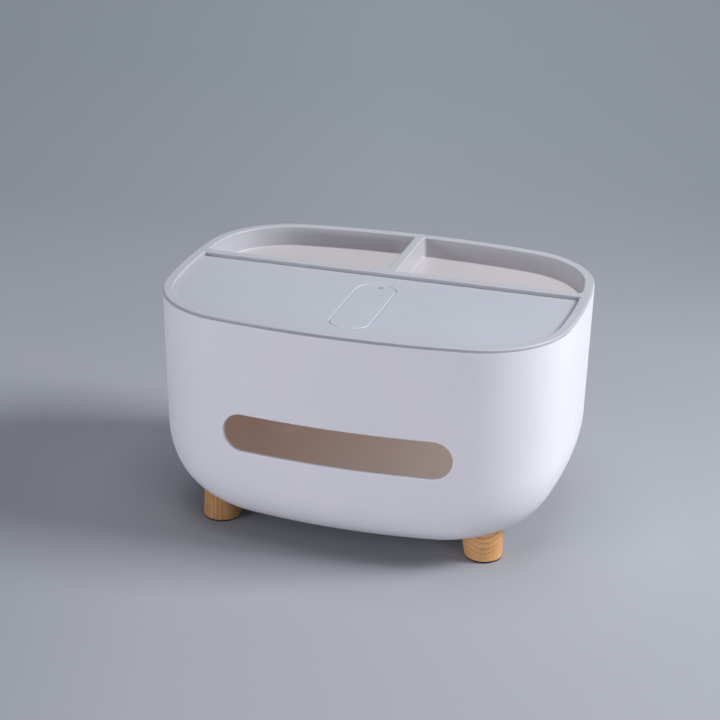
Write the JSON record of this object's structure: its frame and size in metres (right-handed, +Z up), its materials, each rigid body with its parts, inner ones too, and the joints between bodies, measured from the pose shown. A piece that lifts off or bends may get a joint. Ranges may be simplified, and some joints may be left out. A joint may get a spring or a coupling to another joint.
{
  "type": "tissue dispenser",
  "caption": "Rounded desk tissue box on wooden pegs, with a front slot, a lift-out tray with open compartments, and a lid whose flap tips up.",
  "frame": {"origin": "middle of the box's footprint, on the surface that the pads stand on", "axes": "+Z up, +X along the long side to the right as seen from the front, -Y out of the front with the slot"},
  "size_m": [0.245, 0.18, 0.1404],
  "materials": {
    "casing_white": "moulded, satin white",
    "tray_grey": "moulded, satin pale grey",
    "lid_grey": "moulded, satin cool grey",
    "pin_steel": "drawn",
    "leg_wood": "turned beech, clear matt varnish",
    "stud_steel": "zinc plated",
    "bush_brass": "turned",
    "pad_rubber": "matt"
  },
  "bodies": {
    "base": {"casing": "casing_white", "leg_front_left": "leg_wood", "leg_front_right": "leg_wood", "leg_back_left": "leg_wood", "leg_back_right": "leg_wood", "stud_front_left": "stud_steel", "stud_front_right": "stud_steel", "stud_back_left": "stud_steel", "stud_back_right": "stud_steel", "bush_front_left": "bush_brass", "bush_front_right": "bush_brass", "bush_back_left": "bush_brass", "bush_back_right": "bush_brass", "pad_front_left": "pad_rubber", "pad_front_right": "pad_rubber", "pad_back_left": "pad_rubber", "pad_back_right": "pad_rubber"},
    "tray_unit": {"tray": "tray_grey"},
    "lid_unit": {"lid": "lid_grey", "flap_pin": "pin_steel"},
    "flap_unit": {"flap": "lid_grey"}
  },
  "joints": [
    {"name": "tray_lift", "type": "slide", "parent": "base", "child": "tray_unit", "axis": [0, 0, 1], "range_m": [0, 0.06]},
    {"name": "lid_lift", "type": "slide", "parent": "tray_unit", "child": "lid_unit", "axis": [0, 0, 1], "range_m": [0, 0.04]},
    {"name": "flap_tilt", "type": "hinge", "parent": "lid_unit", "child": "flap_unit", "pos_m": [0, -0.0115, 0.1356], "axis": [-1, 0, 0], "range_deg": [0, 70]}
  ]
}
